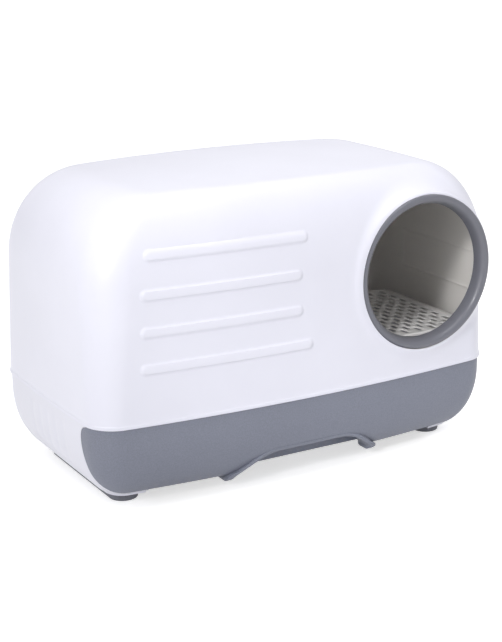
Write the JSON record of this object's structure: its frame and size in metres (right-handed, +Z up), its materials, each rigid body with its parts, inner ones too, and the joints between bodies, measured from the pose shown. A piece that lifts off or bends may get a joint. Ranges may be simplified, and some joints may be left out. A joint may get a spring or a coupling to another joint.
{
  "type": "enclosed cat litter box",
  "caption": "Hooded cat litter box with a round front entrance, full-width pull-out litter drawer, perforated step platform and lift-off hood held by rear latches.",
  "frame": {"origin": "on the floor, at the centre of the plan", "axes": "+X to the right along the length, the front and its entrance face -Y, +Z up"},
  "size_m": [0.6178, 0.3504, 0.4],
  "materials": {
    "hood_white": "smooth semi-gloss white",
    "base_white": "smooth semi-gloss white",
    "tray_white": "smooth satin white",
    "platform_white": "satin off-white",
    "drawer_grey": "fine-textured blue grey",
    "rim_grey": "satin blue grey",
    "skid_grey": "matt grey",
    "rail_grey": "plain",
    "screw_steel": "zinc-plated"
  },
  "bodies": {
    "base": {"base_tub": "base_white", "rim_frame": "base_white", "left_skid": "skid_grey", "right_skid": "skid_grey", "skid_screws": "screw_steel", "frame_screws": "screw_steel", "left_rail": "rail_grey", "right_rail": "rail_grey", "rail_screws": "screw_steel", "left_stop": "rail_grey", "right_stop": "rail_grey", "left_latch_pin": "screw_steel", "right_latch_pin": "screw_steel"},
    "drawer": {"drawer_tray": "tray_white", "drawer_front": "drawer_grey", "grip_liner": "drawer_grey", "front_screws": "screw_steel"},
    "hood": {"hood_shell": "hood_white", "entrance_ring": "rim_grey", "ring_retainer": "rim_grey", "ring_screws": "screw_steel"},
    "platform": {"step_platform": "platform_white"},
    "left_latch": {"left_latch": "hood_white"},
    "right_latch": {"right_latch": "hood_white"}
  },
  "joints": [
    {"name": "drawer_slide", "type": "slide", "parent": "base", "child": "drawer", "axis": [0, -1, 0], "range_m": [0, 0.21]},
    {"name": "hood_lift", "type": "slide", "parent": "base", "child": "hood", "axis": [0, 0, 1], "range_m": [0, 0.3]},
    {"name": "platform_lift", "type": "slide", "parent": "base", "child": "platform", "axis": [0, 0, 1], "range_m": [0, 0.06]},
    {"name": "left_latch_hinge", "type": "hinge", "parent": "base", "child": "left_latch", "pos_m": [-0.26, 0.166, 0.099], "axis": [-1, 0, 0], "range_deg": [0, 100]},
    {"name": "right_latch_hinge", "type": "hinge", "parent": "base", "child": "right_latch", "pos_m": [0.26, 0.166, 0.099], "axis": [-1, 0, 0], "range_deg": [0, 100]}
  ]
}
